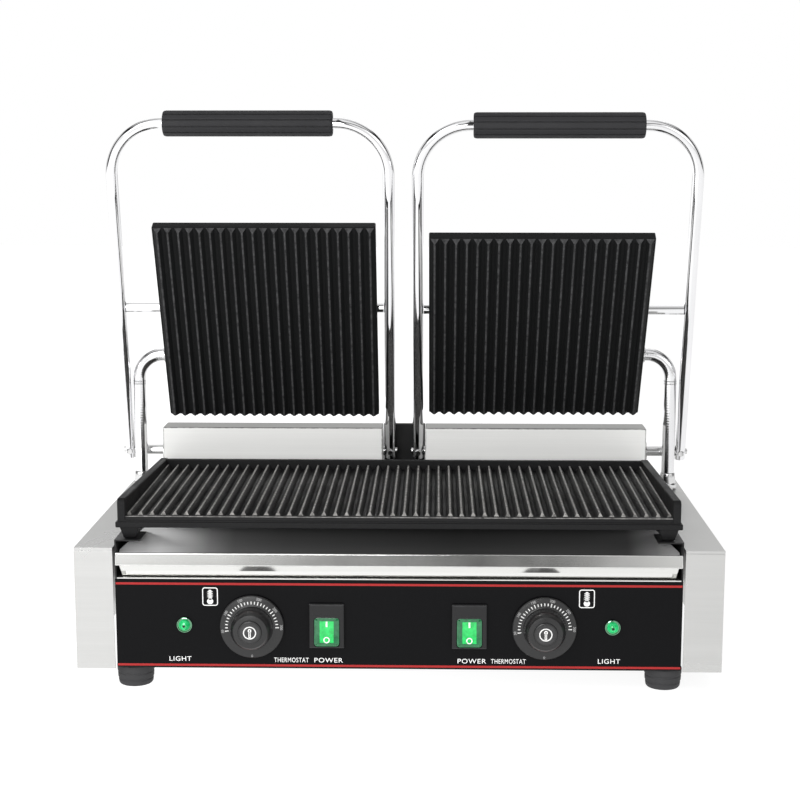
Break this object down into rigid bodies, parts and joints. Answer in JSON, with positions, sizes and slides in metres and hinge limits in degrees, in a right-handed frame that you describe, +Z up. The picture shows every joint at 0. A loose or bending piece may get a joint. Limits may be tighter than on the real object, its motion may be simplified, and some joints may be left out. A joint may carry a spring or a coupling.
{
  "type": "panini press",
  "caption": "Double electric panini press with ribbed cast plates, two hinged handles with self-levelling heads, drip tray, dials and rocker switches.",
  "frame": {"origin": "on the table, under the middle of the grill's box", "axes": "+Z up, -Y towards the user and the control panel, +X to the user's right"},
  "size_m": [0.5794, 0.343, 0.5022],
  "materials": {
    "stainless": "brushed",
    "black_paint": "satin",
    "panel_black": "gloss",
    "cast_iron": "seasoned, matt",
    "heater_steel": "dull",
    "bright_steel": "bright",
    "chrome": "polished",
    "grip_rubber": "matt",
    "conduit": "polished, wound",
    "black_plastic": "satin",
    "ceramic": "matt",
    "green_plastic": "gloss, lit",
    "green_lens": "gloss, lit",
    "foot_rubber": "matt"
  },
  "bodies": {
    "base": {"chassis": "black_paint", "side_cover_left": "stainless", "side_cover_right": "stainless", "control_panel": "panel_black", "tray_shelf": "stainless", "rear_cover": "stainless", "lower_plate": "cast_iron", "lower_heater_left": "heater_steel", "lower_heater_right": "heater_steel", "heat_reflector": "heater_steel", "hinge_box_left": "stainless", "hinge_box_right": "stainless", "centre_bracket": "black_paint", "spring_left": "heater_steel", "spring_right": "heater_steel", "axle_bush_left": "bright_steel", "axle_bush_right": "bright_steel", "hose_lower_left": "conduit", "hose_lower_right": "conduit", "hose_upper_left": "conduit", "hose_upper_right": "conduit", "base_gland_left": "bright_steel", "base_gland_right": "bright_steel", "thermostat_left": "ceramic", "thermostat_right": "ceramic", "switch_body_left": "black_plastic", "switch_body_right": "black_plastic", "lamp_left": "green_lens", "lamp_right": "green_lens", "foot_front_left": "foot_rubber", "foot_front_right": "foot_rubber", "foot_back_left": "foot_rubber", "foot_back_right": "foot_rubber", "cable_gland": "black_plastic", "terminal_block": "ceramic"},
    "handle_left": {"handle_left": "chrome", "grip_left": "grip_rubber", "axle_left": "bright_steel", "head_rod_left": "bright_steel", "pivot_bolt_inner_left": "bright_steel", "pivot_bolt_outer_left": "bright_steel"},
    "head_left": {"upper_plate_left": "cast_iron", "head_cover_left": "stainless", "upper_heater_left": "heater_steel", "head_gland_left": "bright_steel"},
    "knob_left": {"knob_left": "black_plastic"},
    "rocker_left": {"rocker_left": "green_plastic"},
    "handle_right": {"handle_right": "chrome", "grip_right": "grip_rubber", "axle_right": "bright_steel", "head_rod_right": "bright_steel", "pivot_bolt_inner_right": "bright_steel", "pivot_bolt_outer_right": "bright_steel"},
    "head_right": {"upper_plate_right": "cast_iron", "head_cover_right": "stainless", "upper_heater_right": "heater_steel", "head_gland_right": "bright_steel"},
    "knob_right": {"knob_right": "black_plastic"},
    "rocker_right": {"rocker_right": "green_plastic"},
    "drip_tray": {"drip_tray": "stainless"}
  },
  "joints": [
    {"name": "handle_hinge_left", "type": "hinge", "parent": "base", "child": "handle_left", "pos_m": [-0.14715, 0.1215, 0.1625], "axis": [1, 0, 0], "range_deg": [-5, 66.3], "stiffness_Nm_per_rad": 3.7, "springref_deg": -41.83, "deforming": ["hose_lower_left", "hose_upper_left", "spring_left"]},
    {"name": "head_tilt_left", "type": "hinge", "parent": "handle_left", "child": "head_left", "pos_m": [-0.1304, 0.09016, 0.31123], "axis": [-1, 0, 0], "range_deg": [-21.6, 1.4]},
    {"name": "dial_left", "type": "hinge", "parent": "base", "child": "knob_left", "pos_m": [-0.127, -0.151, 0.057], "axis": [0, 1, 0], "range_deg": [0, 270]},
    {"name": "switch_left", "type": "hinge", "parent": "base", "child": "rocker_left", "pos_m": [-0.062, -0.1475, 0.0523], "axis": [1, 0, 0], "range_deg": [0, 14]},
    {"name": "handle_hinge_right", "type": "hinge", "parent": "base", "child": "handle_right", "pos_m": [0.14715, 0.1215, 0.1625], "axis": [1, 0, 0], "range_deg": [-6.5, 63], "stiffness_Nm_per_rad": 3.7, "springref_deg": -41.83, "deforming": ["hose_lower_right", "hose_upper_right", "spring_right"]},
    {"name": "head_tilt_right", "type": "hinge", "parent": "handle_right", "child": "head_right", "pos_m": [0.1304, 0.08627, 0.31036], "axis": [-1, 0, 0], "range_deg": [-16.9, 6.1]},
    {"name": "dial_right", "type": "hinge", "parent": "base", "child": "knob_right", "pos_m": [0.127, -0.151, 0.057], "axis": [0, 1, 0], "range_deg": [0, 270]},
    {"name": "switch_right", "type": "hinge", "parent": "base", "child": "rocker_right", "pos_m": [0.062, -0.1475, 0.0523], "axis": [1, 0, 0], "range_deg": [0, 14]},
    {"name": "tray_slide", "type": "slide", "parent": "base", "child": "drip_tray", "axis": [0, -1, 0], "range_m": [0, 0.15]}
  ]
}
